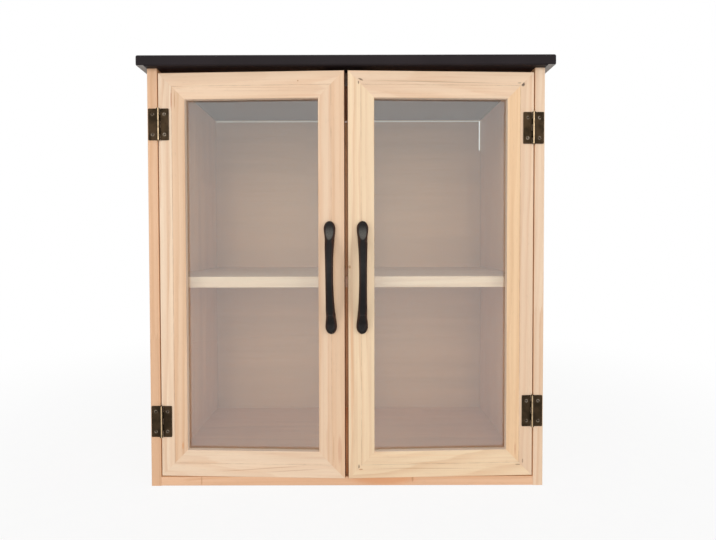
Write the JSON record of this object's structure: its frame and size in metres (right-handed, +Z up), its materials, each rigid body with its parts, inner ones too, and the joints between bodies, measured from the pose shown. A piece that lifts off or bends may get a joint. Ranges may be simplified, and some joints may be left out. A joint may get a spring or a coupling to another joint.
{
  "type": "glazed bookcase",
  "caption": "Low pine bookcase with a black painted top, one fixed shelf and hinged glazed doors with black bow handles.",
  "frame": {"origin": "on the floor at the centre of the case's footprint, under the bottom board", "axes": "+X to the right seen from the front, +Y to the back, +Z up; the doors face -Y"},
  "size_m": [0.624, 0.3351, 0.6513],
  "materials": {
    "pine": "bare sanded pine, finger-jointed boards",
    "painted_top": "black satin paint on top and edges, bare wood inside the case",
    "back_board": "bare board, slightly grey",
    "beech_dowel": "bare beech, fluted stock",
    "glass": "clear float glass",
    "black_metal": "matt black paint, worn a little lighter on the edges",
    "aged_bronze": "dark aged bronze",
    "bronze_screw": "dark aged bronze, brighter in the recess",
    "worn_brass": "worn brass",
    "zinc_steel": "zinc-plated steel",
    "catch_plastic": "moulded matt plastic",
    "ferrite": "dull dark ferrite"
  },
  "bodies": {
    "case": {"back_panel": "back_board", "back_panel_screws": "zinc_steel", "bottom_board": "pine", "bottom_dowels": "beech_dowel", "catch_housing": "catch_plastic", "catch_magnets": "ferrite", "catch_pole_plates": "zinc_steel", "catch_screws": "zinc_steel", "hinge_case_screws": "bronze_screw", "left_lower_hinge_case_leaf": "aged_bronze", "left_lower_hinge_pin": "worn_brass", "left_side_panel": "pine", "left_upper_hinge_case_leaf": "aged_bronze", "left_upper_hinge_pin": "worn_brass", "right_lower_hinge_case_leaf": "aged_bronze", "right_lower_hinge_pin": "worn_brass", "right_side_panel": "pine", "right_upper_hinge_case_leaf": "aged_bronze", "right_upper_hinge_pin": "worn_brass", "shelf": "pine", "shelf_dowels": "beech_dowel", "top_board": "painted_top", "top_dowels": "beech_dowel"},
    "left_door": {"left_door_bead_pins": "zinc_steel", "left_door_bottom_bead": "pine", "left_door_bottom_rail": "pine", "left_door_glass": "glass", "left_door_handle": "black_metal", "left_door_handle_screws": "zinc_steel", "left_door_hinge_door_screws": "bronze_screw", "left_door_hinge_side_bead": "pine", "left_door_hinge_stile": "pine", "left_door_lower_hinge_door_leaf": "aged_bronze", "left_door_meeting_side_bead": "pine", "left_door_meeting_stile": "pine", "left_door_mitre_dowels": "beech_dowel", "left_door_strike_plate": "zinc_steel", "left_door_strike_screw": "zinc_steel", "left_door_top_bead": "pine", "left_door_top_rail": "pine", "left_door_upper_hinge_door_leaf": "aged_bronze"},
    "right_door": {"right_door_bead_pins": "zinc_steel", "right_door_bottom_bead": "pine", "right_door_bottom_rail": "pine", "right_door_glass": "glass", "right_door_handle": "black_metal", "right_door_handle_screws": "zinc_steel", "right_door_hinge_door_screws": "bronze_screw", "right_door_hinge_side_bead": "pine", "right_door_hinge_stile": "pine", "right_door_lower_hinge_door_leaf": "aged_bronze", "right_door_meeting_side_bead": "pine", "right_door_meeting_stile": "pine", "right_door_mitre_dowels": "beech_dowel", "right_door_strike_plate": "zinc_steel", "right_door_strike_screw": "zinc_steel", "right_door_top_bead": "pine", "right_door_top_rail": "pine", "right_door_upper_hinge_door_leaf": "aged_bronze"}
  },
  "joints": [
    {"name": "left_door_hinge", "type": "hinge", "parent": "case", "child": "left_door", "pos_m": [-0.2828, -0.1524, 0.3222], "axis": [0, 0, -1], "range_deg": [-1.9, 168.1]},
    {"name": "right_door_hinge", "type": "hinge", "parent": "case", "child": "right_door", "pos_m": [0.2828, -0.1524, 0.3222], "axis": [0, 0, 1], "range_deg": [-1.9, 168.1]}
  ]
}
